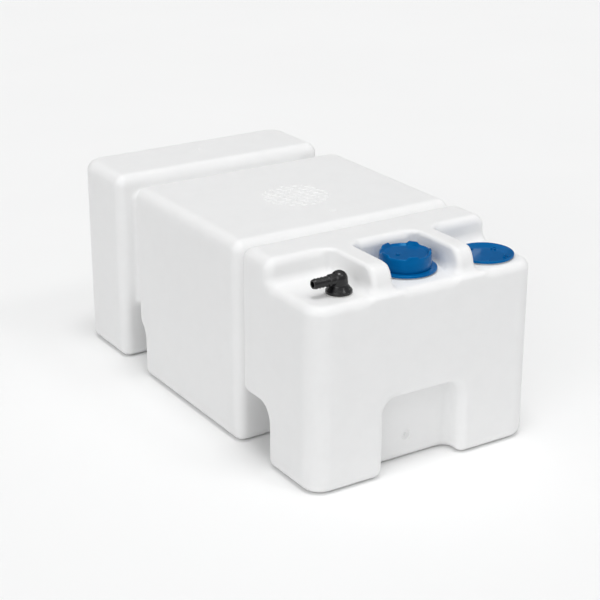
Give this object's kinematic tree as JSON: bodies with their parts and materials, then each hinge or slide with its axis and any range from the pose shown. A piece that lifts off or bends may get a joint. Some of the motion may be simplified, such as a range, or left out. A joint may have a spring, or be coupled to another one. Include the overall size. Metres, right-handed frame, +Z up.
{
  "type": "fresh water tank",
  "caption": "Ribbed polyethylene water tank with a screw filler cap, a flush inspection lid and a swivelling suction elbow at one end.",
  "frame": {"origin": "middle of the footprint, on the plane that the tank stands on", "axes": "+Z up, +Y along the length towards the plain end, the end with the fittings faces -Y, +X to the right seen from that end"},
  "size_m": [0.38, 0.71, 0.312],
  "materials": {
    "tank_polyethylene": "translucent milky polyethylene, satin moulded surface",
    "blue_nylon": "glossy injection-moulded blue",
    "black_nylon": "glossy injection-moulded black",
    "white_nylon": "satin injection-moulded white",
    "white_silicone": "satin white food-grade silicone",
    "clear_hose": "cloudy clear vinyl hose"
  },
  "bodies": {
    "tank": {"tank_shell": "tank_polyethylene", "filler_neck": "blue_nylon", "filler_neck_gasket": "white_silicone", "filler_lock_ring": "blue_nylon", "inspection_insert": "white_nylon", "elbow_gasket": "white_silicone", "elbow_washer": "white_nylon"},
    "filler_seal": {"filler_cap_gasket": "white_silicone"},
    "filler_closure": {"filler_cap": "blue_nylon", "filler_vent_plug": "blue_nylon"},
    "inspection_seal": {"inspection_lid_gasket": "white_silicone"},
    "inspection_closure": {"inspection_lid": "blue_nylon"},
    "outlet": {"elbow_fitting": "black_nylon", "elbow_lock_nut": "black_nylon", "pickup_tube": "clear_hose", "pickup_strainer": "white_nylon"}
  },
  "joints": [
    {"name": "filler_cap_rise", "type": "slide", "parent": "tank", "child": "filler_seal", "axis": [0, 0, 1], "range_m": [0, 0.024]},
    {"name": "filler_cap_turn", "type": "hinge", "parent": "filler_seal", "child": "filler_closure", "pos_m": [0.008, -0.2845, 0.29], "axis": [0, 0, 1], "range_deg": [0, 720]},
    {"name": "inspection_lid_rise", "type": "slide", "parent": "tank", "child": "inspection_seal", "axis": [0, 0, 1], "range_m": [0, 0.024]},
    {"name": "inspection_lid_turn", "type": "hinge", "parent": "inspection_seal", "child": "inspection_closure", "pos_m": [0.1375, -0.3, 0.28], "axis": [0, 0, 1], "range_deg": [0, 720]},
    {"name": "elbow_swivel", "type": "hinge", "parent": "tank", "child": "outlet", "pos_m": [-0.123, -0.314, 0.28], "axis": [0, 0, 1], "range_deg": [-110, 90]}
  ],
  "couplings": [
    {"joint": "filler_cap_rise", "follows": "filler_cap_turn", "m_per_rad": 0.0019098},
    {"joint": "inspection_lid_rise", "follows": "inspection_lid_turn", "m_per_rad": 0.0019098}
  ]
}
